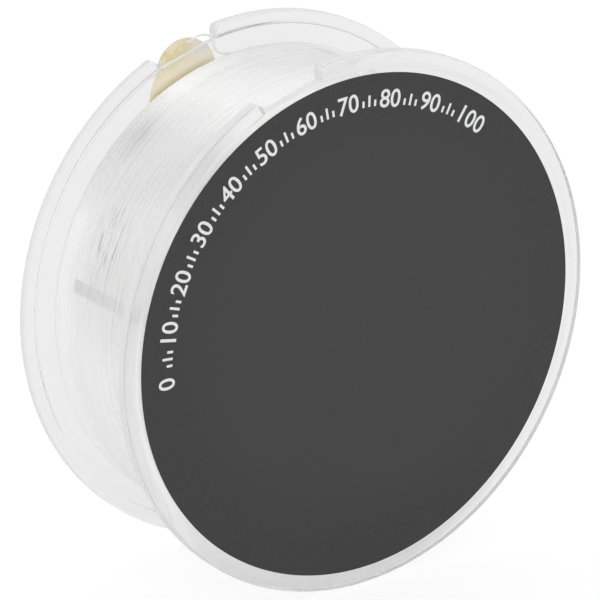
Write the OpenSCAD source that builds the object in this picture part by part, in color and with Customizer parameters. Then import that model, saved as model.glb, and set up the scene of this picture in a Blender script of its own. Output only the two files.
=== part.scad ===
// Clear fishing line spool, wound with monofilament, with a round front label.
// The spool's axis is the Y axis, its label faces -Y, and its middle is the origin.
// Modules are drawn with the axis along z and the label side up, and stand() turns them over.

/* [Flanges] */
// Outer diameter of both flanges, over the rim bead
flange_d = 68; // [66:0.5:76]
// Width of the spool over both rim beads
spool_w = 23.6; // [18:0.2:30]
// Thickness of each flange disc
disc_t = 0.9; // [0.7:0.1:1.4]
// Radial width of the rim bead
bead_w = 1.7; // [1.4:0.1:2.2]
// Height of the rim bead above the disc's outer face
bead_out = 0.3; // [0.3:0.05:0.8]
// Height of the rim bead above the disc's line side
bead_in = 0.5; // [0.2:0.1:1]
// Rounding of the rim bead's edges
bead_round = 0.35; // [0.1:0.05:0.5]

/* [Thread notch] */
// Angle of the notch's middle, from the top towards the left as seen from the front
notch_turn = 18.3; // [10:0.1:40]
// Width of the notch along the rim
notch_w = 9; // [8.6:0.1:11]
// Depth of the notch's flat floor below the bead, at the floor's ends
notch_under = 0.05; // [0.02:0.01:0.4]
// Rounding of the bead's outer corners at the notch
notch_round = 1; // [0.4:0.1:1.3]

/* [Drum and hub] */
// Depth of the groove for the line, from the rim down to the drum
groove_depth = 6.2; // [5.6:0.1:9]
// Wall of the drum
drum_wall = 1.2; // [0.8:0.1:2]
// Number of radial ribs inside the drum
rib_count = 4; // [3:1:6]
// Thickness of each rib
rib_t = 1.5; // [1:0.1:2]
// Angle of the first rib, from the top towards the left
rib_turn = 81; // [40:1:120]
// Outer diameter of the hub tube
hub_d = 15; // [13:0.5:20]
// Diameter of the hub's bore
bore_d = 10; // [6:0.5:11]
// Chamfer at the mouth of the bore
bore_chamfer = 0.4; // [0.2:0.1:0.8]

/* [Collar of the rear flange] */
// Wall of the collar that plugs into the drum
collar_t = 1.6; // [1:0.1:2.4]
// Depth of the collar inside the drum
collar_l = 3; // [1.5:0.5:5]
// Width of the flange's lip inside the collar
collar_lip = 1.8; // [1.6:0.1:3]
// Gap between the collar and the drum or a rib
collar_gap = 0.15; // [0.05:0.05:0.3]

/* [Line] */
// Diameter of the line
line_d = 0.3; // [0.2:0.05:0.4]
// Depth of the wound line on the drum
line_depth = 2.4; // [1.4:0.1:2.8]
// Gap that the wound line keeps from the plastic
line_gap = 0.1; // [0.05:0.05:0.3]
// Least spacing of the turns drawn in the outer layer
turn_space = 0.8; // [0.8:0.02:1.2]

/* [Label and sticker] */
// Gap between the label's edge and the rim bead
label_margin = 0.7; // [0.3:0.1:2]
// Thickness of the label
label_t = 0.15; // [0.1:0.05:0.25]
// Width of the round-ended sticker that holds the line's end
sticker_w = 8.4; // [7:0.1:8.4]
// Length of the sticker
sticker_l = 11.4; // [9:0.1:11.6]
// Distance from the rim to the middle of the sticker's outer end
sticker_inset = 4.35; // [4.3:0.05:4.8]
// Tilt of the sticker's length from upright
sticker_tilt = 23.6; // [15:0.2:30]
// Thickness of the sticker
sticker_t = 0.15; // [0.1:0.05:0.25]

/* [Hidden] */

$fn = 96;
small = 0.01;

flange_r = flange_d / 2;
bead_r = flange_r - bead_w;              // inner radius of the rim bead
face_z = spool_w / 2;                    // outer face of each rim bead
disc_out_z = face_z - bead_out;          // outer face of each disc
disc_in_z = disc_out_z - disc_t;         // line side of each disc
bead_h = bead_out + disc_t + bead_in;    // full height of the rim bead

drum_r = flange_r - groove_depth;         // drum that carries the line
drum_in_r = drum_r - drum_wall;
hub_r = hub_d / 2;
bore_r = bore_d / 2;
collar_r = drum_in_r - collar_gap;       // outer radius of the collar
collar_in_r = collar_r - collar_t;
opening_r = collar_in_r - collar_lip;    // opening of the rear flange

notch_half = asin(notch_w / 2 / flange_r);
notch_end_r = bead_r - notch_under;      // radius of the ends of the notch's floor
notch_floor = notch_end_r * cos(notch_half);
notch_meet = 12;                         // angle at which a corner's rounding meets rim and end face

label_r = bead_r - label_margin;

// The outer layer winds one unbroken tube over a plain core
tube_sides = 6;
loop_rings = 24;
most_loops = 24;
turn_r = drum_r + line_depth - line_d / 2;               // path of the outer turns
core_r = turn_r * cos(180 / loop_rings) - line_d / 2 - line_gap;
turn_z = disc_in_z - line_gap - line_d / 2;              // first and last turn
loops = min(most_loops, floor(2 * turn_z / turn_space));
tail_turn = notch_turn - notch_half + 1;                 // where the line's end climbs to the notch

// A point at radius r and height z, at an angle from the top towards the left
function around(r, angle, z) = [-r * sin(angle), r * cos(angle), z];
function unit(v) = v / norm(v);

// The turns run from the label side to the rear flange
function turn_point(i) =
    let (share = i / (loops * loop_rings))
    around(turn_r, tail_turn - 360 * loops * (1 - share) - 360 / loop_rings,
           turn_z * (1 - 2 * share));

// The line's end climbs beside the rear disc, crosses the notch's floor and meets the sticker.
// Each row holds the share of the climb to the notch's floor, the height above that floor,
// the angle from the start of the climb and the share of the way to the disc's outer face.
tail_rows = [
    [0.05, 0, -4, 0], [0.2, 0, -1.6, 0], [0.45, 0, -0.4, 0], [0.75, 0, 0, 0], [1, 0.05, 0, 0],
    [1, 0.45, 0.2, 0.06], [1, 0.8, 0.7, 0.2], [1, 1.05, 1.6, 0.36], [1, 1.15, 2.7, 0.46],
    [1, 1.1, 3.8, 0.5], [1, 0.95, 4.8, 0.55], [1, 0.85, 5.2, 0.72], [1, 0.85, 5.25, 1]
];
climb = notch_end_r - turn_r;
tail_end_z = -disc_out_z;
tail = [for (row = tail_rows)
    around(turn_r + climb * row[0] + row[1], tail_turn + row[2],
           -turn_z + (tail_end_z + turn_z) * row[3])];
start_turn = tail_turn - 360 * (loops + 1 / loop_rings);
line_path = concat(
    [around(core_r, start_turn - 180 / loop_rings, turn_z),
     around(core_r + line_d, start_turn - 180 / loop_rings, turn_z)],
    [for (i = [0 : loops * loop_rings]) turn_point(i)],
    tail);

// Least gap of the line to itself, over points that lie half a turn or more apart
least_gap = min([for (i = [0 : len(line_path) - 1])
    for (j = [i + loop_rings / 2 : 1 : len(line_path) - 1])
        norm(line_path[i] - line_path[j])]) - line_d;

module stand() {
    rotate([90, 0, 0]) children();
}

module ring(outer_r, inner_r, low_z, high_z) {
    translate([0, 0, low_z])
        linear_extrude(high_z - low_z)
            difference() {
                circle(outer_r);
                circle(inner_r);
            }
}

// Section of a rim bead with rounded edges, from radius bead_r outwards
module bead_section() {
    corner_x = [bead_r + bead_round, flange_r - bead_round];
    corner_y = [face_z - bead_h + bead_round, face_z - bead_round];
    translate([corner_x[0], face_z - bead_h])
        square([corner_x[1] - corner_x[0], bead_h]);
    translate([bead_r, corner_y[0]])
        square([bead_w, corner_y[1] - corner_y[0]]);
    for (x = corner_x, y = corner_y)
        translate([x, y]) circle(bead_round, $fn = 32);
}

// Outline that is cut from a flange: flat floor, rounded outer corners on the bead
module notch_outline() {
    reach = flange_r + 2;
    half_w = reach * tan(notch_half);
    rotate(notch_turn) {
        polygon([
            [-notch_floor * tan(notch_half), notch_floor],
            [notch_floor * tan(notch_half), notch_floor],
            [half_w, reach],
            [-half_w, reach]
        ]);
        for (side = [-1, 1])
            rotate(side * notch_half) notch_corner(side);
    }
}

// The waste outside a corner's rounding, beside the notch's end face
module notch_corner(side) {
    inset = notch_round * cos(notch_meet);
    mirror([side > 0 ? 1 : 0, 0])
        difference() {
            translate([-small, flange_r - inset]) square([notch_round, notch_round + 1]);
            translate([inset, flange_r - inset]) circle(notch_round, $fn = 48);
        }
}

module notch_cut() {
    translate([0, 0, face_z - bead_h - 1])
        linear_extrude(bead_h + 2) notch_outline();
}

// A disc with its rim bead and notch, on the label side
module flange(inner_r) {
    difference() {
        union() {
            if (inner_r > 0)
                ring(bead_r + bead_round, inner_r, disc_in_z, disc_out_z);
            else
                translate([0, 0, disc_in_z]) cylinder(r = bead_r + bead_round, h = disc_t);
            rotate_extrude() bead_section();
        }
        notch_cut();
    }
}

module front_flange() {
    color([0.9, 0.91, 0.92, 0.5]) stand() flange(0);
}

module drum() {
    color([0.86, 0.87, 0.88, 0.5]) stand() ring(drum_r, drum_in_r, -disc_in_z, disc_in_z);
}

module rib_outline(thickness, from_r, to_r) {
    for (i = [0 : rib_count - 1])
        rotate(rib_turn + i * 360 / rib_count)
            translate([-thickness / 2, from_r]) square([thickness, to_r - from_r]);
}

module drum_ribs() {
    color([0.82, 0.83, 0.85, 0.5]) stand()
        translate([0, 0, -disc_in_z])
            linear_extrude(2 * disc_in_z)
                intersection() {
                    rib_outline(rib_t, hub_r - 1, drum_r);
                    difference() {
                        circle(drum_in_r);
                        circle(hub_r);
                    }
                }
}

module hub_tube() {
    color([0.84, 0.85, 0.87, 0.5]) stand()
        difference() {
            ring(hub_r, bore_r, -face_z, disc_in_z);
            translate([0, 0, -face_z - small])
                cylinder(r1 = bore_r + bore_chamfer + small, r2 = bore_r, h = bore_chamfer + small);
        }
}

// The rear flange is the front one turned over, with its middle open
module rear_flange() {
    color([0.88, 0.89, 0.9, 0.5]) stand() mirror([0, 0, 1]) flange(opening_r);
}

// The collar stands on the rear flange and is slotted for the ribs
module rear_collar() {
    color([0.8, 0.82, 0.84, 0.5]) stand()
        translate([0, 0, -disc_in_z])
            linear_extrude(collar_l)
                difference() {
                    circle(collar_r);
                    circle(collar_in_r);
                    rib_outline(rib_t + 2 * collar_gap, collar_in_r - 1, drum_r);
                }
}

module front_label() {
    color([0.25, 0.25, 0.25]) stand()
        translate([0, 0, disc_out_z]) cylinder(r = label_r, h = label_t);
}

module line_inner_turns() {
    color([0.93, 0.93, 0.92]) stand()
        ring(core_r, drum_r + line_gap, -disc_in_z + line_gap, disc_in_z - line_gap);
}

// A tube swept along points, as triangles, with square ends
module swept_tube(path, radius, sides) {
    last = len(path) - 1;
    ahead = [for (i = [0 : last]) unit(path[min(i + 1, last)] - path[max(i - 1, 0)])];
    first_side = unit(cross(ahead[0], [0, 0, 1]));
    across = [for (i = 0, v = first_side; i <= last;
                   i = i + 1, v = i > last ? v : unit(v - (v * ahead[i]) * ahead[i])) v];
    rings = [for (i = [0 : last], k = [0 : sides - 1])
        path[i] + radius * (cos(360 * k / sides) * across[i]
                            + sin(360 * k / sides) * cross(ahead[i], across[i]))];
    skin = [for (i = [0 : last - 1], k = [0 : sides - 1])
        let (a = i * sides + k, b = i * sides + (k + 1) % sides)
        each [[a, a + sides, b], [b, a + sides, b + sides]]];
    ends = [for (k = [1 : sides - 2])
        each [[0, k, k + 1], [last * sides, last * sides + k + 1, last * sides + k]]];
    polyhedron(rings, concat(skin, ends));
}

module line_outer_turns() {
    echo(turns = loops, least_gap_mm = least_gap);
    color([0.97, 0.97, 0.96]) stand() swept_tube(line_path, line_d / 2, tube_sides);
}

module line_end_sticker() {
    run = sticker_l - sticker_w;
    color([0.9, 0.84, 0.55]) stand()
        translate(around(flange_r - sticker_inset, notch_turn + 1.1, -disc_out_z - sticker_t))
            linear_extrude(sticker_t)
                rotate(-sticker_tilt) {
                    circle(sticker_w / 2);
                    translate([-sticker_w / 2, -run]) square([sticker_w, run]);
                    translate([0, -run]) circle(sticker_w / 2);
                }
}

front_flange();
drum();
drum_ribs();
hub_tube();
rear_flange();
rear_collar();
front_label();
line_inner_turns();
line_outer_turns();
line_end_sticker();
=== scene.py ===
"""Looks of the fishing line spool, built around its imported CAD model.

The spool's axis is Y and its label faces -Y. Lengths below are in millimetres and angles in degrees,
counted from the top towards -X, unless a name ends in _m or _M. Blender's own units are metres.
"""

import math

import bmesh
import bpy
from mathutils import Matrix, Vector, noise

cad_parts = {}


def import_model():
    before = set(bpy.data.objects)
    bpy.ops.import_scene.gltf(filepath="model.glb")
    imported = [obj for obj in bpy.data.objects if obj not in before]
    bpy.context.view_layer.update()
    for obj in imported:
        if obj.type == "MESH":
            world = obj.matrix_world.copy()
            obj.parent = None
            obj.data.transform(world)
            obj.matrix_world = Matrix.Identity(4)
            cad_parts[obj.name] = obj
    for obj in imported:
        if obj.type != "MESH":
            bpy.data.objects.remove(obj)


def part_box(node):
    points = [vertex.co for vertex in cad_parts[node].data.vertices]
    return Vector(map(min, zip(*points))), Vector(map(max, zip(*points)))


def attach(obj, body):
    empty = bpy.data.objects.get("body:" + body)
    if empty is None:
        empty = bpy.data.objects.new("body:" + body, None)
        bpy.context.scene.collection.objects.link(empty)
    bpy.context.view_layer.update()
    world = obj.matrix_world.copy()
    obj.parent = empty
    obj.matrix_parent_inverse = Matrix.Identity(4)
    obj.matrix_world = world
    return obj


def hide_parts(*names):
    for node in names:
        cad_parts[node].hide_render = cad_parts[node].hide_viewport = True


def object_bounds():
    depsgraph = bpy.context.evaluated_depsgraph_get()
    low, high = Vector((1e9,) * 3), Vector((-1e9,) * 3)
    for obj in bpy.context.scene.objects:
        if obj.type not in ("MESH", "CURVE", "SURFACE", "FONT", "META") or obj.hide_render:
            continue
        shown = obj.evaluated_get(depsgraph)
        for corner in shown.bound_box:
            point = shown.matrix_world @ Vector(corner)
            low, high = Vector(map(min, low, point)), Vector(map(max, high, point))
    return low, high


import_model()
cad_low, cad_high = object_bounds()

MM = 0.001


def corners(node):
    """A CAD node's lowest and highest corner, in millimetres."""
    return [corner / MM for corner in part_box(node)]


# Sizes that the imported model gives
FLANGE_LOW, FLANGE_HIGH = corners("front_flange")
FLANGE_R = -FLANGE_LOW.x
FACE_Y = -FLANGE_LOW.y
DRUM_LOW, DRUM_HIGH = corners("drum")
DRUM_R = -DRUM_LOW.x
DISC_IN_Y = DRUM_HIGH.y
HUB_R = -corners("hub_tube")[0].x
LABEL_LOW, LABEL_HIGH = corners("front_label")
LABEL_R = -LABEL_LOW.x
DISC_OUT_Y = -LABEL_HIGH.y
LABEL_T = LABEL_HIGH.y - LABEL_LOW.y
BEAD_H = FLANGE_HIGH.y - FLANGE_LOW.y
COLLAR_END_Y = corners("rear_collar")[0].y
CORE_LOW, CORE_HIGH = corners("line_inner_turns")
CORE_R = -CORE_LOW.x
STICKER_HIGH = corners("line_end_sticker")[1]

# Sizes that part.scad gives and a box doesn't show
BEAD_W = 1.7
BEAD_ROUND = 0.35
NOTCH_TURN = 18.3
NOTCH_W = 9.0
NOTCH_UNDER = 0.05
NOTCH_ROUND = 1.0
NOTCH_MEET = 12.0
GROOVE_DEPTH = 6.2
DRUM_WALL = 1.2
RIB_T = 1.5
RIB_COUNT = 4
RIB_TURN = 81.0
BORE_R = 5.0
BORE_CHAMFER = 0.4
COLLAR_T = 1.6
COLLAR_LIP = 1.8
COLLAR_GAP = 0.15
LINE_D = 0.3
LINE_DEPTH = 2.4
LINE_GAP = 0.1
STICKER_W = 8.4
STICKER_L = 11.4
STICKER_INSET = 4.35
STICKER_TILT = 23.6
STICKER_PAST_NOTCH = 1.1

BEAD_R = FLANGE_R - BEAD_W
NOTCH_HALF = math.degrees(math.asin(NOTCH_W / 2 / FLANGE_R))
NOTCH_END_R = BEAD_R - NOTCH_UNDER
NOTCH_FLOOR = NOTCH_END_R * math.cos(math.radians(NOTCH_HALF))
DRUM_IN_R = DRUM_R - DRUM_WALL
COLLAR_R = DRUM_IN_R - COLLAR_GAP
COLLAR_IN_R = COLLAR_R - COLLAR_T
OPENING_R = COLLAR_IN_R - COLLAR_LIP

# The hairline that keeps two clear faces apart, and the roundings of a moulding's edges and roots
FIT = 0.03
EDGE = 0.12
ROOT = 0.3

# The front bead's soft slopes: how far they reach past the bead's edge, their steps, and the radius at which
# the one on the line side and the matt surface there begin
SLOPE = 0.45
SLOPE_STEPS = 8
HAZE_R = CORE_R + 0.3

# Points closer than WELD are joined, edges shorter than SLIVER go, and edges bent by more than SHARP, or
# LINE_SHARP on the line, stay sharp
WELD = 0.002
SLIVER = 0.0005
SHARP = 35
LINE_SHARP = 80


def around(r, turn, y):
    """The point at radius r and place y along the axis, turned from the top towards -X."""
    a = math.radians(turn)
    return Vector((-r * math.sin(a), y, r * math.cos(a))) * MM


def arc(middle, radius, start, end, steps):
    """Points (r, s) of an arc, both ends included."""
    angles = [math.radians(start + (end - start) * i / steps) for i in range(steps + 1)]
    return [(middle[0] + radius * math.cos(a), middle[1] + radius * math.sin(a)) for a in angles]


# ---------------------------------------------------------------- meshes

def new_piece(name, mesh, *materials):
    piece = bpy.data.objects.new(name, mesh)
    bpy.context.scene.collection.objects.link(piece)
    for material in materials:
        mesh.materials.append(material)
    return piece


def finish_mesh(bm, name, sharp=SHARP):
    """Welds, turns the faces outwards and shades smooth up to the sharp angle."""
    bmesh.ops.remove_doubles(bm, verts=bm.verts, dist=WELD * MM)
    bmesh.ops.dissolve_degenerate(bm, dist=SLIVER * MM, edges=bm.edges)
    bmesh.ops.recalc_face_normals(bm, faces=bm.faces)
    mesh = bpy.data.meshes.new(name)
    bm.to_mesh(mesh)
    bm.free()
    mesh.shade_smooth()
    mesh.set_sharp_from_angle(angle=math.radians(sharp))
    return mesh


def loop_skin(bm, sections):
    """Closed skin through sections of equally many points, both along and across."""
    rows = [[bm.verts.new(p) for p in section] for section in sections]
    for i, row in enumerate(rows):
        after = rows[(i + 1) % len(rows)]
        for k in range(len(row)):
            m = (k + 1) % len(row)
            bm.faces.new([row[k], row[m], after[m], after[k]])


def revolved(bm, turns, profile_at, side):
    """Revolves a profile of (r, s), which may differ from turn to turn.

    s counts from the spool's middle towards side, which is -1 for the label's side and 1 for the rear.
    """
    loop_skin(bm, [[around(r, turn, side * s) for r, s in profile_at(turn)] for turn in turns])


def box_piece(name, low, high, matrix):
    """A box between two corners, in millimetres, moved by the matrix."""
    bm = bmesh.new()
    bmesh.ops.create_cube(bm, size=1)
    scale = Matrix.Diagonal((*[(b - a) * MM for a, b in zip(low, high)], 1))
    centre = Matrix.Translation([(a + b) / 2 * MM for a, b in zip(low, high)])
    bmesh.ops.transform(bm, matrix=matrix @ centre @ scale, verts=bm.verts)
    mesh = bpy.data.meshes.new(name)
    bm.to_mesh(mesh)
    bm.free()
    return new_piece(name, mesh)


def with_boxes(piece, boxes, operation):
    """Adds each box to the piece or cuts it out, and leaves one mesh."""
    for box in boxes:
        cut = piece.modifiers.new("box", "BOOLEAN")
        cut.operation = operation
        cut.solver = "EXACT"
        cut.object = box
    graph = bpy.context.evaluated_depsgraph_get()
    graph.update()
    bm = bmesh.new()
    bm.from_object(piece, graph)
    piece.modifiers.clear()
    old = piece.data
    materials = list(old.materials)
    piece.data = finish_mesh(bm, piece.name)
    for material in materials:
        piece.data.materials.append(material)
    bpy.data.meshes.remove(old)
    for box in boxes:
        bpy.data.objects.remove(box)


# ---------------------------------------------------------------- the clear mouldings

# How far inside the bead a section's last point on the plain disc lies, how much a section may rise between
# two points before that counts as the bead's wall, and an allowance for rounding
BESIDE_BEAD = 0.5
STEEP = 0.25
TINY = 1e-9

# Sections in a full turn, the sections beside each end of the notch by their degrees past it, and how close
# to those an even one may lie
RIM_SECTIONS = 180
NOTCH_SECTIONS = (-0.6, -0.2, -0.03, 0.03, 0.12, 0.25, 0.42, 0.62, 0.85, 1.1, 1.35, 1.6, 1.9)
SECTION_SPACE = 0.25

# A face is on a rim's edge or line side by its direction: at most EDGE_ALONG of it along the axis and
# EDGE_INWARD inwards, or at least LINE_SIDE_ALONG along the axis. Edges begin FROST_UNDER below the notch's
# floor
EDGE_ALONG = 0.3
EDGE_INWARD = 0.3
LINE_SIDE_ALONG = 0.75
FROST_UNDER = 0.1

# How far the ribs are sunk into what they join, and how far their slots reach past the collar's end and wall
RIB_SUNK = 0.1
SLOT_PAST_END = 1
SLOT_PAST_WALL = 0.6


def notch_reach(turn):
    """How far from the axis the notch leaves plastic standing at a turn, or None outside the notch."""
    off = abs(turn - NOTCH_TURN)
    if off < NOTCH_HALF:
        return NOTCH_FLOOR / math.cos(math.radians(off))
    past = math.radians(off - NOTCH_HALF)
    inset = NOTCH_ROUND * math.cos(math.radians(NOTCH_MEET))
    middle = Vector((inset, FLANGE_R - inset))
    along = middle.dot(Vector((math.sin(past), math.cos(past))))
    under = along ** 2 - middle.length_squared + NOTCH_ROUND ** 2
    reach = along + math.sqrt(max(under, 0))
    return reach if under > 0 and reach < FLANGE_R and past < math.atan2(inset, middle.y) else None


def soft_step(share):
    """A share from 0 to 1, eased at both ends."""
    return share * share * (3 - 2 * share)


def slope(start_r, low, high):
    """A soft rise from the disc's face at low to the bead's face at high, outwards, as (r, s)."""
    run = BEAD_R + SLOPE - start_r
    shares = [i / SLOPE_STEPS for i in range(SLOPE_STEPS + 1)]
    return [(start_r + run * share, low + (high - low) * soft_step(share)) for share in shares]


def rim_profile(soft):
    """Section of a flange's rim, from its outer face over the bead to its line side, as (r, s).

    A soft rim rises slowly from the disc, the other one in a small round step.
    """
    top, foot = FACE_Y - BEAD_ROUND, FACE_Y - BEAD_H + BEAD_ROUND
    near, far = BEAD_R + BEAD_ROUND, FLANGE_R - BEAD_ROUND
    beside = BEAD_R - BESIDE_BEAD
    if soft:
        rise = slope(BEAD_R - SLOPE, DISC_OUT_Y, FACE_Y)
        fall = list(reversed(slope(HAZE_R, DISC_IN_Y, FACE_Y - BEAD_H)))
    else:
        start = math.degrees(math.pi - math.asin((DISC_OUT_Y - top) / BEAD_ROUND))
        rise = arc((near, top), BEAD_ROUND, start, 90, 6)
        fall = arc((near, foot), BEAD_ROUND, -90, -180, 6) + [(BEAD_R, DISC_IN_Y), (beside, DISC_IN_Y)]
    return (
        [(beside, DISC_OUT_Y)]
        + rise
        + [((near + far) / 2, FACE_Y)]
        + arc((far, top), BEAD_ROUND, 90, 0, 8)
        + [(FLANGE_R, (top + foot) / 2)]
        + arc((far, foot), BEAD_ROUND, 0, -90, 8)
        + [((near + far) / 2, FACE_Y - BEAD_H)]
        + fall
    )


def cut_short(profile, reach):
    """The rim's section where plastic ends at reach: the rest folds onto a rounded end."""
    keep = reach - EDGE
    beyond = [i for i, (r, s) in enumerate(profile) if r > keep]
    first, last = beyond[0], beyond[-1]

    def height(inside, outside):
        (r0, s0), (r1, s1) = profile[inside], profile[outside]
        return s0 + (s1 - s0) * (keep - r0) / (r1 - r0) if abs(s1 - s0) < STEEP else s0

    top, foot = height(first - 1, first), height(last + 1, last)
    path = arc((keep, top - EDGE), EDGE, 90, 0, 4) + arc((keep, foot + EDGE), EDGE, 0, -90, 4)
    lengths = [0]
    for a, b in zip(path, path[1:]):
        lengths.append(lengths[-1] + math.dist(a, b))
    spots = []
    for i in range(len(beyond)):
        want = lengths[-1] * i / (len(beyond) - 1)
        k = next(j for j in range(1, len(path)) if lengths[j] >= want - TINY)
        share = (want - lengths[k - 1]) / (lengths[k] - lengths[k - 1])
        spots.append(tuple(a + (b - a) * share for a, b in zip(path[k - 1], path[k])))
    return profile[:first] + spots + profile[last + 1:]


def rim_turns():
    """Turns at which the mouldings have sections: even steps, with more at the notch's ends."""
    even = [360 * i / RIM_SECTIONS for i in range(RIM_SECTIONS)]
    ends = []
    for side in (-1, 1):
        for past in NOTCH_SECTIONS:
            ends.append((NOTCH_TURN + side * (NOTCH_HALF + past)) % 360)
    clear = [t for t in even if all(abs(t - e) > SECTION_SPACE for e in ends)]
    return sorted(clear + ends)


def rim_at(turn, soft):
    """The rim's section at a turn, shortened in the notch."""
    reach = notch_reach(turn)
    return cut_short(rim_profile(soft), reach) if reach else rim_profile(soft)


def spool_profile(turn):
    """Half section of the main moulding: front disc with its rim, drum and hub tube."""
    end, hub_end = -DISC_IN_Y + FIT, -FACE_Y
    mouth = BORE_R + BORE_CHAMFER
    return (
        [(0, DISC_OUT_Y), (LABEL_R / 2, DISC_OUT_Y)]
        + rim_at(turn, True)
        + arc((DRUM_R + ROOT, DISC_IN_Y - ROOT), ROOT, 90, 180, 5)
        + [(DRUM_R, 0)]
        + arc((DRUM_R - EDGE, end + EDGE), EDGE, 0, -90, 3)
        + arc((DRUM_IN_R + EDGE, end + EDGE), EDGE, -90, -180, 3)
        + [(DRUM_IN_R, 0)]
        + arc((DRUM_IN_R - ROOT, DISC_IN_Y - ROOT), ROOT, 0, 90, 5)
        + [((DRUM_IN_R + HUB_R) / 2, DISC_IN_Y)]
        + arc((HUB_R + ROOT, DISC_IN_Y - ROOT), ROOT, 90, 180, 5)
        + [(HUB_R, 0)]
        + arc((HUB_R - EDGE, hub_end + EDGE), EDGE, 0, -90, 3)
        + [(mouth, hub_end), (BORE_R, hub_end + BORE_CHAMFER), (BORE_R, 0)]
        + arc((BORE_R - ROOT, DISC_IN_Y - ROOT), ROOT, 0, 90, 4)
        + [(BORE_R / 2, DISC_IN_Y), (0, DISC_IN_Y)]
    )


def coat(piece, material, wanted):
    """Gives the faces for which wanted(spot, direction) holds a material of their own."""
    mesh = piece.data
    mesh.materials.append(material)
    for face in mesh.polygons:
        spot = Vector((face.center.x, 0, face.center.z)) / MM
        if wanted(spot, face.normal):
            face.material_index = len(mesh.materials) - 1


def on_edge(spot, direction):
    """Whether a face is on a rim's outward or notch side, which the mould left less polished."""
    outward = direction.dot(spot.normalized())
    beyond = spot.length > NOTCH_FLOOR - FROST_UNDER
    return beyond and abs(direction.y) < EDGE_ALONG and outward > -EDGE_INWARD


def on_line_side(spot, direction):
    """Whether a face is on the front rim's line side, which the mould left matt."""
    return spot.length > HAZE_R and direction.y > LINE_SIDE_ALONG


def rib_boxes(name, low, high):
    """A box at each rib of the drum, its corners given as it stands above the axis."""
    boxes = []
    for i in range(RIB_COUNT):
        turned = Matrix.Rotation(-math.radians(RIB_TURN + 360 * i / RIB_COUNT), 4, "Y")
        boxes.append(box_piece(f"{name}_{i}", low, high, turned))
    return boxes


def spool_body(material, edge, haze):
    """The main moulding: front flange, drum, ribs and hub tube."""
    bm = bmesh.new()
    revolved(bm, rim_turns(), spool_profile, -1)
    piece = new_piece("spool_body", finish_mesh(bm, "spool_body"), material)
    low = (-RIB_T / 2, -DISC_IN_Y - RIB_SUNK, HUB_R - RIB_SUNK)
    high = (RIB_T / 2, DISC_IN_Y - 2 * FIT, DRUM_IN_R + RIB_SUNK)
    with_boxes(piece, rib_boxes("rib", low, high), "UNION")
    coat(piece, edge, on_edge)
    coat(piece, haze, on_line_side)
    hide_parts("front_flange", "drum", "drum_ribs", "hub_tube")
    return piece


def rear_profile(turn):
    """Half section of the rear flange, with its collar towards the drum."""
    return (
        rim_at(turn, False)
        + [((BEAD_R + COLLAR_R) / 2, DISC_IN_Y)]
        + arc((COLLAR_R + EDGE, DISC_IN_Y - EDGE), EDGE, 90, 180, 3)
        + arc((COLLAR_R - EDGE, COLLAR_END_Y + EDGE), EDGE, 0, -90, 3)
        + arc((COLLAR_IN_R + EDGE, COLLAR_END_Y + EDGE), EDGE, -90, -180, 3)
        + arc((COLLAR_IN_R - EDGE, DISC_IN_Y - EDGE), EDGE, 0, 90, 3)
        + arc((OPENING_R + EDGE, DISC_IN_Y + EDGE), EDGE, -90, -180, 3)
        + arc((OPENING_R + EDGE, DISC_OUT_Y - EDGE), EDGE, 180, 90, 3)
        + [((OPENING_R + BEAD_R) / 2, DISC_OUT_Y)]
    )


def rear_flange(material, edge):
    """The second moulding: the open rear ring and its collar, slotted for the ribs."""
    bm = bmesh.new()
    revolved(bm, rim_turns(), rear_profile, 1)
    piece = new_piece("rear_ring", finish_mesh(bm, "rear_ring"), material)
    half = RIB_T / 2 + COLLAR_GAP
    low = (-half, COLLAR_END_Y - SLOT_PAST_END, COLLAR_IN_R - SLOT_PAST_WALL)
    high = (half, DISC_IN_Y - FIT, COLLAR_R + SLOT_PAST_WALL)
    with_boxes(piece, rib_boxes("slot", low, high), "DIFFERENCE")
    coat(piece, edge, on_edge)
    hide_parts("rear_flange", "rear_collar")
    return piece


# ---------------------------------------------------------------- the line

# The outer turns: passes across the spool, turns in each, rings in a turn and sides of the tube
PASSES = 2
TURNS_A_PASS = 62
RINGS_A_TURN = 72
TUBE_SIDES = 6
TURN_R = FLANGE_R - GROOVE_DEPTH + LINE_DEPTH - LINE_D / 2
TURN_Y = DISC_IN_Y - LINE_GAP - LINE_D / 2

# How much lower a pass lies than the next one. Then how far a turn strays along the axis, DRIFT, and up or
# down, LIFT, each with the pace of its noise from turn to turn and its shift from pass to pass, the radius of
# the circle on which the noise is read, and the power by which drift fades out towards the flanges
PASS_DOWN = 0.12
DRIFT, DRIFT_PACE, DRIFT_SHIFT = 0.3, 0.45, 7.1
LIFT, LIFT_PACE, LIFT_SHIFT = 0.03, 0.9, 31
WANDER_R = 1.3
DRIFT_FADE = 8

# How far the winding's surface sinks at its ends, and over which width
SHOULDER = 0.3
SHOULDER_W = 1

# The buried turns: rows that show, points across a row, depth of the grooves between them, how far they lie
# under the outer turns' path, and sections in a full turn
CORE_ROWS = 70
ROW_POINTS = 4
ROW_GROOVE = 0.05
CORE_DOWN = 0.02
CORE_SECTIONS = 120

# The line's end: how far inside the notch it climbs, the turn at which it does, and its points to a row below
TAIL_IN = 1
TAIL_TURN = NOTCH_TURN - NOTCH_HALF + TAIL_IN
TAIL_STEPS = 5

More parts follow.
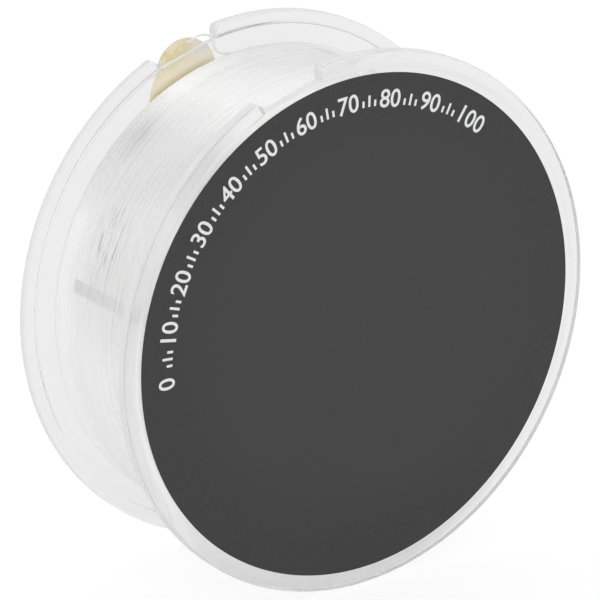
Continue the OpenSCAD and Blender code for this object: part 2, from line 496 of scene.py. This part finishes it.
# Its rows: share of the climb to the notch's floor, height above that floor, turn from the start of the climb
# and share of the way to the disc's outer face, as in part.scad
TAIL_ROWS = [
    (0.05, 0, -4, 0), (0.2, 0, -1.6, 0), (0.45, 0, -0.4, 0), (0.75, 0, 0, 0), (1, 0.05, 0, 0),
    (1, 0.45, 0.2, 0.06), (1, 0.8, 0.7, 0.2), (1, 1.05, 1.6, 0.36), (1, 1.15, 2.7, 0.46),
    (1, 1.1, 3.8, 0.5), (1, 0.95, 4.8, 0.55), (1, 0.85, 5.2, 0.72), (1, 0.85, 5.25, 1),
]
WOUND_END_TURN = TAIL_TURN + TAIL_ROWS[0][2]


def shoulder(y):
    """How far the winding's surface sinks towards its ends."""
    return SHOULDER * soft_step(min(1, max(0, (abs(y) - TURN_Y + SHOULDER_W) / SHOULDER_W)))


def wander(x, y, seed):
    """Smooth noise from -1 to 1 along a turn."""
    return noise.noise(Vector((x, y, seed)))


def winding_path():
    """Passes of level-wound turns, from the lowest to the outermost, which cross at a small angle."""
    points = []
    steps = TURNS_A_PASS * RINGS_A_TURN
    for p in range(PASSES):
        forward = 1 if (PASSES - 1 - p) % 2 == 0 else -1
        for i in range(steps if p < PASSES - 1 else steps + 1):
            share = i / steps
            turn = WOUND_END_TURN - 360 * TURNS_A_PASS * (PASSES - p - share)
            lap = math.floor(share * TURNS_A_PASS)
            a = math.radians(turn)
            place = Vector((math.cos(a), math.sin(a))) * WANDER_R
            drift = DRIFT * wander(place.x + DRIFT_SHIFT * p, place.y, share * TURNS_A_PASS * DRIFT_PACE)
            y = forward * (2 * share - 1) * TURN_Y
            y = max(-TURN_Y, min(TURN_Y, y + drift * (1 - abs(2 * share - 1) ** DRIFT_FADE)))
            lift = LIFT * wander(place.x, place.y, lap * LIFT_PACE + LIFT_SHIFT * p)
            r = TURN_R - PASS_DOWN * (PASSES - 1 - p) + lift
            points.append(around(r - shoulder(y), turn, y))
    return points


def smooth_through(points, steps):
    """Catmull-Rom curve through points."""
    out = []
    for i in range(len(points) - 1):
        a, b = points[max(i - 1, 0)], points[i]
        c, d = points[i + 1], points[min(i + 2, len(points) - 1)]
        for k in range(steps):
            t = k / steps
            out.append(0.5 * (2 * b + (c - a) * t + (2 * a - 5 * b + 4 * c - d) * t ** 2
                              + (3 * b - a - 3 * c + d) * t ** 3))
    return out + [points[-1]]


def tail_path():
    """The line's end, from the winding over the notch's floor to the sticker."""
    start_r = TURN_R - SHOULDER
    climb = NOTCH_END_R - start_r
    rows = [
        around(start_r + climb * up + above, TAIL_TURN + turn, TURN_Y + (DISC_OUT_Y - TURN_Y) * over)
        for up, above, turn, over in TAIL_ROWS
    ]
    return smooth_through(rows, TAIL_STEPS)


def tube(bm, path, radius, sides):
    """A closed tube along path, with its rings carried along without twist."""
    last = len(path) - 1
    ahead = [(path[min(i + 1, last)] - path[max(i - 1, 0)]).normalized() for i in range(last + 1)]
    across = ahead[0].orthogonal().normalized()
    rows = []
    for point, way in zip(path, ahead):
        across = (across - across.dot(way) * way).normalized()
        beside = way.cross(across)
        turned = [2 * math.pi * k / sides for k in range(sides)]
        rows.append([bm.verts.new(point + radius * (math.cos(t) * across + math.sin(t) * beside))
                     for t in turned])
    for row, after in zip(rows, rows[1:]):
        for k in range(sides):
            m = (k + 1) % sides
            bm.faces.new([row[k], row[m], after[m], after[k]])
    bm.faces.new(list(reversed(rows[0])))
    bm.faces.new(rows[-1])


def line_turns(wound, free):
    """The outer turns and the line's end, as one tube whose free end has its own material."""
    bm = bmesh.new()
    turns = winding_path()
    tube(bm, turns + tail_path(), LINE_D / 2 * MM, TUBE_SIDES)
    for face in list(bm.faces)[len(turns) * TUBE_SIDES:]:
        face.material_index = 1
    piece = new_piece("line_turns", finish_mesh(bm, "line_turns", LINE_SHARP), wound, free)
    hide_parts("line_outer_turns")
    return piece


def line_core(material):
    """The buried turns: a ring whose outside shows the rows of line under the outer ones."""
    inner = DRUM_R + LINE_GAP
    half = CORE_HIGH.y
    steps = ROW_POINTS * CORE_ROWS
    hills = []
    for i in range(steps + 1):
        y = half - 2 * half * i / steps
        groove = ROW_GROOVE * abs(math.sin(math.pi * i / ROW_POINTS))
        hills.append((TURN_R - CORE_DOWN - groove - shoulder(y), y))
    profile = hills + [(inner, -half), (inner, 0), (inner, half)]
    bm = bmesh.new()
    revolved(bm, [360 * i / CORE_SECTIONS for i in range(CORE_SECTIONS)], lambda turn: profile, 1)
    piece = new_piece("line_core", finish_mesh(bm, "line_core", LINE_SHARP), material)
    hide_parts("line_inner_turns")
    return piece


# ---------------------------------------------------------------- label and sticker

# The scale of numbers: its inner radius, the digits' height and boldness, the turns of its first and last
# number, and how far 100 is turned to clear the marks before it
MARKS_IN_R = 27.1
DIGIT_HEIGHT = 2.2
DIGIT_BOLD = 0.012
SCALE_FROM, SCALE_TO = 92.5, -33
NUMBERS = list(range(0, 101, 10))
HUNDRED_TURN = -1.5
PRINT_T = 0.02

# The marks between two numbers: share of the way from one to the next and height, then the marks' half width
# and distance outwards from the inner radius
MARKS = ((0.36, 0.8), (0.5, 1.4), (0.64, 0.8))
MARK_HALF_W = 0.16
MARK_FOOT = 0.25

# The label's distance from the middle across and up, the unevenness of its cut edge with the circle and the
# place at which its noise is read, its edge's bevel, its rings and sections, and how much of a face's
# direction has to be backwards for it to count as the back
LABEL_OFF = (-0.01, -0.31)
LABEL_UNEVEN, LABEL_WANDER_R, LABEL_WANDER_AT = 0.04, 1.6, 3.7
LABEL_BEVEL = 0.03
LABEL_RINGS = 14
LABEL_SECTIONS = 180
LABEL_BACKWARD = 0.5

STICKER_RINGS = 10
STICKER_SIDES = 96


def flat_text(words, height):
    """Plain digits as a flat mesh of that height, centred on x = 0, standing on y = 0."""
    curve = bpy.data.curves.new("digits", "FONT")
    curve.body = words
    curve.align_x = "CENTER"
    curve.size = 1
    curve.offset = DIGIT_BOLD
    curve.resolution_u = 4
    holder = bpy.data.objects.new("digits", curve)
    bpy.context.scene.collection.objects.link(holder)
    graph = bpy.context.evaluated_depsgraph_get()
    mesh = bpy.data.meshes.new_from_object(holder.evaluated_get(graph))
    tall = max(v.co.y for v in mesh.vertices)
    for v in mesh.vertices:
        v.co = v.co * (height / tall)
    bpy.data.objects.remove(holder)
    bpy.data.curves.remove(curve)
    return mesh


def label_edge_r(turn):
    """The label's edge, cut a little unevenly and stuck on a little off the middle."""
    a = math.radians(turn)
    shift = -LABEL_OFF[0] * math.sin(a) + LABEL_OFF[1] * math.cos(a)
    x, z = LABEL_WANDER_R * math.cos(a), LABEL_WANDER_R * math.sin(a)
    return LABEL_R + shift + LABEL_UNEVEN * wander(x, z, LABEL_WANDER_AT)


def on_label(flat, turn, r):
    """Turns a flat point, in millimetres, to its place on the label, its top away from the middle."""
    y = -(DISC_OUT_Y + LABEL_T + PRINT_T)
    a = math.radians(turn)
    out = Vector((-math.sin(a), 0, math.cos(a)))
    right = Vector((math.cos(a), 0, math.sin(a)))
    return (out * (r + flat.y) + right * flat.x + Vector((0, y, 0))) * MM


def label_profile(turn):
    """Half section of the label, from the middle of its face to the middle of its back."""
    face, back = DISC_OUT_Y + LABEL_T, DISC_OUT_Y + FIT
    edge = label_edge_r(turn)
    front = [(edge * (i / LABEL_RINGS), face) for i in range(LABEL_RINGS)]
    bevel = [(edge - LABEL_BEVEL, face), (edge, face - LABEL_BEVEL)]
    return front + bevel + [(edge, back), (0, back)]


def front_label(paper, ink, bare):
    """The label with its scale of numbers. Its materials are the paper, the ink and the bare back."""
    bm = bmesh.new()
    revolved(bm, [360 * i / LABEL_SECTIONS for i in range(LABEL_SECTIONS)], label_profile, -1)
    plain = finish_mesh(bm, "front_label_print")
    bm = bmesh.new()
    bm.from_mesh(plain)
    bpy.data.meshes.remove(plain)
    for side in bm.faces:
        side.material_index = 2 if side.normal.y > LABEL_BACKWARD else 0

    def add_print(vertices, polygons, turn):
        made = [bm.verts.new(on_label(v, turn, MARKS_IN_R)) for v in vertices]
        for polygon in polygons:
            bm.faces.new([made[i] for i in polygon]).material_index = 1

    step = (SCALE_TO - SCALE_FROM) / (len(NUMBERS) - 1)
    for i, number in enumerate(NUMBERS):
        turn = SCALE_FROM + step * i
        last = number == NUMBERS[-1]
        digits = flat_text(str(number), DIGIT_HEIGHT)
        outline = [v.co.copy() for v in digits.vertices]
        add_print(outline, [list(p.vertices) for p in digits.polygons], turn + (HUNDRED_TURN if last else 0))
        bpy.data.meshes.remove(digits)
        for share, tall in () if last else MARKS:
            low, high = MARK_FOOT, MARK_FOOT + tall
            bar = [(-MARK_HALF_W, low), (MARK_HALF_W, low), (MARK_HALF_W, high), (-MARK_HALF_W, high)]
            add_print([Vector((x, y, 0)) for x, y in bar], [[0, 1, 2, 3]], turn + step * share)
    marked = bpy.data.meshes.new("front_label_print")
    bm.to_mesh(marked)
    bm.free()
    piece = new_piece("label_disc", marked, paper, ink, bare)
    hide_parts("front_label")
    return piece


def end_sticker(material):
    """The round-ended sticker over the line's end, lying on the rear disc and bridging the notch."""
    half = STICKER_W / 2
    run = STICKER_L - STICKER_W
    tilt = math.radians(STICKER_TILT)
    down = Vector((-math.sin(tilt), 0, -math.cos(tilt)))
    outer = around(FLANGE_R - STICKER_INSET, NOTCH_TURN + STICKER_PAST_NOTCH, 0) / MM
    middle = outer + down * run / 2
    across = Vector((-down.z, 0, down.x))
    low, high = DISC_OUT_Y + FIT, STICKER_HIGH.y

    def edge(k):
        """The outline's point k, from the sticker's middle."""
        t = 2 * math.pi * (k + 0.5) / STICKER_SIDES
        end = run / 2 * (1 if math.cos(t) > 0 else -1)
        return down * (end + half * math.cos(t)) + across * half * math.sin(t)

    bm = bmesh.new()
    loop = []
    for k in range(STICKER_SIDES):
        rim = edge(k)
        flat = [middle + rim * i / STICKER_RINGS for i in range(STICKER_RINGS + 1)]
        loop.append([Vector((p.x, low, p.z)) * MM for p in flat]
                    + [Vector((p.x, high, p.z)) * MM for p in reversed(flat)])
    loop_skin(bm, loop)
    piece = new_piece("end_sticker", finish_mesh(bm, "end_sticker"), material)
    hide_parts("line_end_sticker")
    return piece


# ---------------------------------------------------------------- materials

# The range in which nearly all of a noise's values lie, and that of its middle part
GRAIN = (0.3, 0.7)
FINE_GRAIN = (0.35, 0.65)

PLASTIC_IOR = 1.5
NYLON_IOR = 1.53


def grey(level):
    return (level, level, level)


def add_node(tree, kind, inputs=None, **settings):
    """A new node with its settings, and its inputs set to values or linked to sockets."""
    made = tree.nodes.new(kind)
    for name, value in settings.items():
        setattr(made, name, value)
    for name, value in (inputs or {}).items():
        if isinstance(value, bpy.types.NodeSocket):
            tree.links.new(value, made.inputs[name])
        else:
            made.inputs[name].default_value = value
    return made


def maths(tree, operation, *values, **settings):
    """The result of a sum, product, limit or size of values and sockets."""
    inputs = dict(enumerate(values))
    return add_node(tree, "ShaderNodeMath", inputs, operation=operation, **settings).outputs[0]


class Shader:
    """A node material with its Principled shader, and short calls for the nodes used here."""

    def __init__(self, name, **constants):
        self.material = bpy.data.materials.new(name)
        self.material.use_nodes = True
        self.tree = self.material.node_tree
        self.main = self.tree.nodes["Principled BSDF"]
        for socket, value in constants.items():
            self.main.inputs[socket.replace("_", " ")].default_value = value

    def place(self, scale=(1, 1, 1)):
        """Object coordinates in millimetres, pressed together by scale."""
        spot = add_node(self.tree, "ShaderNodeTexCoord").outputs["Object"]
        inputs = {0: spot, 1: [s / MM for s in scale]}
        return add_node(self.tree, "ShaderNodeVectorMath", inputs, operation="MULTIPLY").outputs["Vector"]

    def part(self, where, axis):
        return add_node(self.tree, "ShaderNodeSeparateXYZ", {"Vector": where}).outputs[axis]

    def measure(self, operation, *vectors):
        """A length, distance or dot product of vectors."""
        inputs = dict(enumerate(vectors))
        return add_node(self.tree, "ShaderNodeVectorMath", inputs, operation=operation).outputs["Value"]

    def from_axis(self):
        """The distance from the spool's axis, in millimetres."""
        return self.measure("LENGTH", self.place((1, 0, 1)))

    def grain(self, where, scale, detail=2.0, rough=0.5):
        inputs = {"Vector": where, "Scale": scale, "Detail": detail, "Roughness": rough}
        return add_node(self.tree, "ShaderNodeTexNoise", inputs).outputs["Fac"]

    def spread(self, value, low, high, to_low, to_high):
        """The value's range from low to high, spread over the range from to_low to to_high."""
        inputs = {"Value": value, "From Min": low, "From Max": high, "To Min": to_low, "To Max": to_high}
        return add_node(self.tree, "ShaderNodeMapRange", inputs).outputs["Result"]

    def blend(self, share, first, second):
        """The first colour where share is 0 and the second where it is 1."""
        made = add_node(self.tree, "ShaderNodeMix", {"Factor": share}, data_type="RGBA")
        for socket, value in ((made.inputs[6], first), (made.inputs[7], second)):
            if isinstance(value, bpy.types.NodeSocket):
                self.tree.links.new(value, socket)
            else:
                socket.default_value = (*value, 1)
        return made.outputs[2]

    def feed(self, name, socket):
        self.tree.links.new(socket, self.main.inputs[name])

    def roughen(self, grain, low, high):
        """Roughness that follows a grain."""
        self.feed("Roughness", self.spread(grain, *GRAIN, low, high))

    def bump(self, height, strength, distance_mm):
        inputs = {"Height": height, "Strength": strength, "Distance": distance_mm * MM}
        self.feed("Normal", add_node(self.tree, "ShaderNodeBump", inputs).outputs["Normal"])


def clear_plastic():
    """Clear moulded polystyrene: faint flow waves and a slightly uneven gloss."""
    s = Shader("clear_plastic", Base_Color=(*grey(0.99), 1), IOR=PLASTIC_IOR, Transmission_Weight=1.0)
    where = s.place()
    s.roughen(s.grain(where, 0.35), 0.02, 0.09)
    s.bump(s.grain(where, 0.12, 1.0), 0.25, 0.15)
    return s.material


def frosted_edge():
    """The same plastic where it is less polished and catches the light."""
    s = Shader("frosted_edge", IOR=PLASTIC_IOR, Transmission_Weight=0.4)
    grain = s.grain(s.place(), 0.9, 3.0)
    s.feed("Base Color", s.blend(grain, grey(0.87), grey(0.93)))
    s.roughen(grain, 0.35, 0.5)
    return s.material


def hazy_plastic():
    """The same plastic on the front rim's line side, where the mould was left matt."""
    s = Shader("hazy_plastic", Base_Color=(*grey(0.97), 1), IOR=PLASTIC_IOR, Transmission_Weight=1.0)
    s.roughen(s.grain(s.place(), 0.9, 3.0), 0.13, 0.2)
    return s.material


# The band over a rib: its turn from the rib's own, the distances from its middle between which it fades, the
# places along the axis between which it ends and between which it is fainter, how faint, and its grey
RIB_SEEN_OFF = -2.7
RIB_FADE = (0.65, 1.0)
RIB_END = (5.9, 6.3)
RIB_FAINT = (-4, 0)
RIB_FAINTNESS = 0.5
RIB_GREY = 0.745

# Zones of painted light and shade on the winding, along the axis: where each starts, where it is full,
# strength and grey. Painted light makes the line paler over the collar, painted shade darker beside the rear
# disc
PAINTED_LIGHT_ZONES = [(5.5, 8, 0.8, 0.97), (10.1, 10.5, 0.6, 0.72)]

# Spots of painted shade on the winding: turn, place along the axis, radius to which it is full, radius at
# which it ends, and grey. The single spot reaches WIDE times as far around the axis as along it
PAINTED_SHADE_SPOTS = [(-2, 5, 5, 14, 0.8), (46, 2, 4, 12, 0.8), (74, -2, 3, 11, 0.83), (43, -7, 2, 7, 0.78)]
WIDE_PAINTED_SHADE_SPOT = (45, 9, 1, 5, 0.8)
WIDE = 2

# Flat spots, FLAT times as long around the axis as along it: the darkest patch of painted shadow, which the
# streaks weaken to PATCH_LEFT, and painted shade in thin dark strands within the range of their noise
FLAT = 1.6
PAINTED_SHADOW_PATCH = (41, 6.6, 1, 4.5, 0.68)
PATCH_LEFT = 0.5
PAINTED_SHADE_STRANDS = (66, 1.6, 2.5, 6.5, 0.55)
STRANDS = (0.54, 0.64)

# Scales of the noise that runs along the turns, for streaks and for strands
STREAK_SCALE = (0.15, 3.0, 0.15)
STRAND_SCALE = (0.3, 8.0, 0.3)


def winding_spot(s, turn, y, full, end, press_around=1, press_along=1):
    """1 at a place on the winding, falling to 0 at the spot's end.

    The two factors press the spot together around and along the axis.
    """
    middle = around(TURN_R * press_around, turn, y * press_along) / MM
    away = s.measure("DISTANCE", s.place((press_around, press_along, press_around)), middle)
    return s.spread(away, full, end, 1, 0)


def rib_shadow(s, depth):
    """A soft band over each rib of the drum, which shows faintly through the line."""
    a = math.radians(RIB_TURN + RIB_SEEN_OFF)
    where = s.place()
    off = [maths(s.tree, "ABSOLUTE", s.measure("DOT_PRODUCT", where, across))
           for across in ((math.cos(a), 0, math.sin(a)), (-math.sin(a), 0, math.cos(a)))]
    band = s.spread(maths(s.tree, "MINIMUM", *off), *RIB_FADE, 1, 0)
    ended = maths(s.tree, "MULTIPLY", band, s.spread(depth, *RIB_END, 1, 0))
    return maths(s.tree, "MULTIPLY", ended, s.spread(depth, *RIB_FAINT, RIB_FAINTNESS, 1))


def nylon(name):
    """Nylon line, milky where many turns lie together, with streaks along the turns, painted light and shade
    in zones and spots, and a painted shadow over each rib.
    """
    s = Shader(name, IOR=NYLON_IOR)
    depth = s.part(s.place(), "Y")
    streaks = s.spread(s.grain(s.place(STREAK_SCALE), 1.0, 3.0), *FINE_GRAIN, 0, 1)
    colour = s.blend(streaks, grey(0.895), grey(0.935))
    # Painted light over the collar and painted shade beside the rear disc
    for start, end, strength, level in PAINTED_LIGHT_ZONES:
        colour = s.blend(s.spread(depth, start, end, 0, strength), colour, grey(level))
    # Spots of painted shade on the winding
    for *spot, level in PAINTED_SHADE_SPOTS:
        colour = s.blend(winding_spot(s, *spot), colour, grey(level))
    *spot, level = WIDE_PAINTED_SHADE_SPOT
    colour = s.blend(winding_spot(s, *spot, press_around=1 / WIDE), colour, grey(level))
    # The darkest patch of painted shadow
    *spot, level = PAINTED_SHADOW_PATCH
    left = s.spread(streaks, 0, 1, 1, PATCH_LEFT)
    patch = maths(s.tree, "MULTIPLY", winding_spot(s, *spot, press_along=FLAT), left)
    colour = s.blend(patch, colour, grey(level))
    # Thin dark strands of painted shade
    *spot, level = PAINTED_SHADE_STRANDS
    strands = s.spread(s.grain(s.place(STRAND_SCALE), 1.0, 2.0), *STRANDS, 0, 1)
    strand_shade = maths(s.tree, "MULTIPLY", winding_spot(s, *spot, press_along=FLAT), strands)
    colour = s.blend(strand_shade, colour, grey(level))
    s.feed("Base Color", s.blend(rib_shadow(s, depth), colour, grey(RIB_GREY)))
    s.roughen(s.grain(s.place(), 0.8), 0.14, 0.28)
    return s.material


def label_paper():
    """Dark printed paper: fine grain, and a darker, more uneven outer ring."""
    s = Shader("label_paper")
    grain = s.grain(s.place(), 2.2, 5.0, 0.7)
    uneven = s.spread(grain, *FINE_GRAIN, 0, 1)
    plain = s.blend(uneven, grey(0.0365), grey(0.043))
    outer = s.blend(uneven, grey(0.025), grey(0.044))
    ring = s.spread(s.from_axis(), 20, 28, 0, 1)
    s.feed("Base Color", s.blend(ring, plain, outer))
    s.roughen(grain, 0.5, 0.75)
    s.bump(grain, 0.15, 0.02)
    return s.material


def white_ink():
    s = Shader("white_ink", Roughness=0.5)
    s.feed("Base Color", s.blend(s.grain(s.place(), 3.0, 3.0), grey(0.72), grey(0.84)))
    return s.material


def bare_paper():
    """The label's unprinted back, which shows through the clear disc."""
    s = Shader("bare_paper", Roughness=0.7)
    grain = s.grain(s.place(), 1.5, 4.0)
    s.feed("Base Color", s.blend(grain, (0.76, 0.76, 0.75), (0.86, 0.86, 0.85)))
    s.bump(grain, 0.1, 0.02)
    return s.material


def sticker_paper():
    """Mottled yellow paper, beige towards +X, with painted light that makes it paler towards the bottom and
    in a band, plain behind the winding.
    """
    s = Shader("sticker_paper", Roughness=0.6)
    where = s.place()
    mottle = s.spread(s.grain(where, 0.9, 2.0), 0.43, 0.57, 0, 1)
    yellow = s.blend(mottle, (0.71, 0.59, 0.24), (0.82, 0.73, 0.48))
    # Painted light: paler towards the bottom, against the shade near the winding
    low_down = s.spread(s.part(where, "Z"), 32, 27, 0, 1)
    lit_low = s.blend(low_down, yellow, (0.87, 0.80, 0.63))
    to_side = s.spread(s.part(where, "X"), -12, -8, 0, 1)
    ragged = s.spread(s.grain(where, 0.35, 3.0), *GRAIN, -0.35, 0.35)
    sided = s.blend(maths(s.tree, "ADD", to_side, ragged, use_clamp=True), lit_low, (0.82, 0.76, 0.69))
    # Painted light: a paler band where the winding shades the sticker
    away = s.from_axis()
    lit_band = s.blend(s.spread(away, 30.2, 31.4, 0.7, 0), sided, (0.96, 0.90, 0.72))
    behind_winding = s.spread(away, 28.0, 29.8, 1, 0)
    s.feed("Base Color", s.blend(behind_winding, lit_band, (0.84, 0.75, 0.46)))
    s.bump(s.grain(where, 3.0, 3.0), 0.2, 0.03)
    return s.material


# ---------------------------------------------------------------- stage, light and camera

# How much of its shadow the white floor keeps, for the eye and through plastic, and how bright it is for the
# eye. How bright the studio is through plastic and, overhead, in what plastic mirrors and bends, the heights
# of a direction between which it darkens, and how strongly it lights the spool
FLOOR_SHADE = 0.2
SHADE_THROUGH = 0.45
FLOOR_WHITE = 1.02
THROUGH = 0.845
OVERHEAD = 0.3
DARKER_FROM, DARKER_TO = 0.05, 0.5
SKY_LIGHT = 0.88

# The floor's reach, its distance under the spool and its grey where it lights the spool
FLOOR_REACH_M = 3
FLOOR_DROP_M = 0.0002
FLOOR_GREY = 0.9

# The photograph's view of the spool's middle, and how far that lies right of and above the picture's middle
AZIMUTH, ELEVATION = -35.25, 19.99
DISTANCE_M = 0.4280
ASIDE_M, ABOVE_M = 0.00079, 0.00015
SENSOR_MM, LENS_MM = 36, 208.9
CLIP_START_M = 0.01


def seen_rays(tree, ray):
    """1 for camera, glossy and transmission rays, else 0."""
    share = ray.outputs["Is Camera Ray"]
    for kind in ("Is Glossy Ray", "Is Transmission Ray"):
        share = maths(tree, "MAXIMUM", share, ray.outputs[kind])
    return share


def floor():
    """White where it is seen, with a faint shadow, and plain pale where it lights the spool."""
    bm = bmesh.new()
    bmesh.ops.create_grid(bm, x_segments=1, y_segments=1, size=FLOOR_REACH_M)
    mesh = bpy.data.meshes.new("floor")
    bm.to_mesh(mesh)
    bm.free()
    material = bpy.data.materials.new("floor")
    material.use_nodes = True
    tree = material.node_tree
    tree.nodes.remove(tree.nodes["Principled BSDF"])
    ray = add_node(tree, "ShaderNodeLightPath")
    direct = ray.outputs["Is Camera Ray"]
    shades = {"To Min": SHADE_THROUGH, "To Max": FLOOR_SHADE}
    kept = add_node(tree, "ShaderNodeMapRange", {"Value": direct, **shades})
    glows = {"To Min": THROUGH - SHADE_THROUGH, "To Max": FLOOR_WHITE - FLOOR_SHADE}
    level = add_node(tree, "ShaderNodeMapRange", {"Value": direct, **glows})
    plain = add_node(tree, "ShaderNodeBsdfDiffuse", {"Color": (*grey(FLOOR_GREY), 1)})
    shade = add_node(tree, "ShaderNodeBsdfDiffuse", {"Color": kept.outputs["Result"]})
    glow = add_node(tree, "ShaderNodeEmission", {"Strength": level.outputs["Result"]})
    both = add_node(tree, "ShaderNodeAddShader", {0: shade.outputs[0], 1: glow.outputs[0]})
    mix = add_node(tree, "ShaderNodeMixShader",
                   {"Fac": seen_rays(tree, ray), 1: plain.outputs[0], 2: both.outputs[0]})
    tree.links.new(mix.outputs[0], tree.nodes["Material Output"].inputs["Surface"])
    piece = new_piece("floor", mesh, material)
    piece.location.z = cad_low.z - FLOOR_DROP_M


def world():
    """White behind the spool for the camera, darker overhead in what plastic mirrors and bends."""
    made = bpy.data.worlds.new("studio")
    bpy.context.scene.world = made
    made.use_nodes = True
    tree = made.node_tree
    lit = tree.nodes["Background"]
    lit.inputs["Color"].default_value = (*grey(1), 1)
    lit.inputs["Strength"].default_value = SKY_LIGHT
    ray = add_node(tree, "ShaderNodeLightPath")
    way = add_node(tree, "ShaderNodeTexCoord").outputs["Generated"]
    height = add_node(tree, "ShaderNodeSeparateXYZ", {"Vector": way}).outputs["Z"]
    ends = {"From Min": DARKER_FROM, "From Max": DARKER_TO, "To Min": THROUGH, "To Max": OVERHEAD}
    shade = add_node(tree, "ShaderNodeMapRange", {"Value": height, **ends}, interpolation_type="SMOOTHSTEP")

    # What lies behind plastic is lit as strongly as in the open, and the camera sees white
    after_surface = maths(tree, "MULTIPLY", ray.outputs["Diffuse Depth"], SKY_LIGHT)
    lighting = maths(tree, "MINIMUM", after_surface, SKY_LIGHT)
    through = maths(tree, "MAXIMUM", shade.outputs["Result"], lighting)
    level = maths(tree, "MAXIMUM", through, ray.outputs["Is Camera Ray"])
    seen = add_node(tree, "ShaderNodeBackground", {"Color": (*grey(1), 1), "Strength": level})
    mix = add_node(tree, "ShaderNodeMixShader",
                   {"Fac": seen_rays(tree, ray), 1: lit.outputs[0], 2: seen.outputs[0]})
    tree.links.new(mix.outputs[0], tree.nodes["World Output"].inputs["Surface"])


def softbox(name, place_m, size_m, watts):
    """A rectangular lamp that points at the spool."""
    light = bpy.data.lights.new(name, "AREA")
    light.shape = "RECTANGLE"
    light.size, light.size_y = size_m
    light.energy = watts
    lamp = bpy.data.objects.new(name, light)
    bpy.context.scene.collection.objects.link(lamp)
    lamp.location = place_m
    lamp.rotation_euler = (-Vector(place_m)).to_track_quat("-Z", "Y").to_euler()


def camera():
    """The photograph's camera."""
    azimuth, elevation = math.radians(AZIMUTH), math.radians(ELEVATION)
    back = Vector((math.sin(azimuth) * math.cos(elevation),
                   -math.cos(azimuth) * math.cos(elevation), math.sin(elevation)))
    right = Vector((math.cos(azimuth), math.sin(azimuth), 0))
    up = back.cross(right)
    data = bpy.data.cameras.new("camera")
    data.sensor_width = SENSOR_MM
    data.lens = LENS_MM
    data.clip_start = CLIP_START_M
    eye = bpy.data.objects.new("camera", data)
    bpy.context.scene.collection.objects.link(eye)
    turned = Matrix((right, up, back)).transposed().to_4x4()
    eye.matrix_world = Matrix.Translation(back * DISTANCE_M - right * ASIDE_M - up * ABOVE_M) @ turned
    bpy.context.scene.camera = eye


bpy.context.scene.view_settings.view_transform = "Standard"

# Light crosses many clear faces before it leaves the spool
cycles = bpy.context.scene.cycles
cycles.max_bounces = cycles.transmission_bounces = 96
cycles.glossy_bounces = 64
cycles.blur_glossy = 0
cycles.diffuse_bounces = 12
cycles.sample_clamp_indirect = 2

camera()
world()
floor()
softbox("top", place_m=(0.1, 0.1, 0.9), size_m=(0.7, 0.7), watts=1.6)
softbox("front", place_m=(-0.5, -0.9, 0.5), size_m=(0.6, 0.6), watts=1)

plastic, edge = clear_plastic(), frosted_edge()
for piece in (
    spool_body(plastic, edge, hazy_plastic()),
    rear_flange(plastic, edge),
    line_core(nylon("line_under")),
    line_turns(nylon("line_over"), nylon("line_end")),
    front_label(label_paper(), white_ink(), bare_paper()),
    end_sticker(sticker_paper()),
):
    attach(piece, "root")
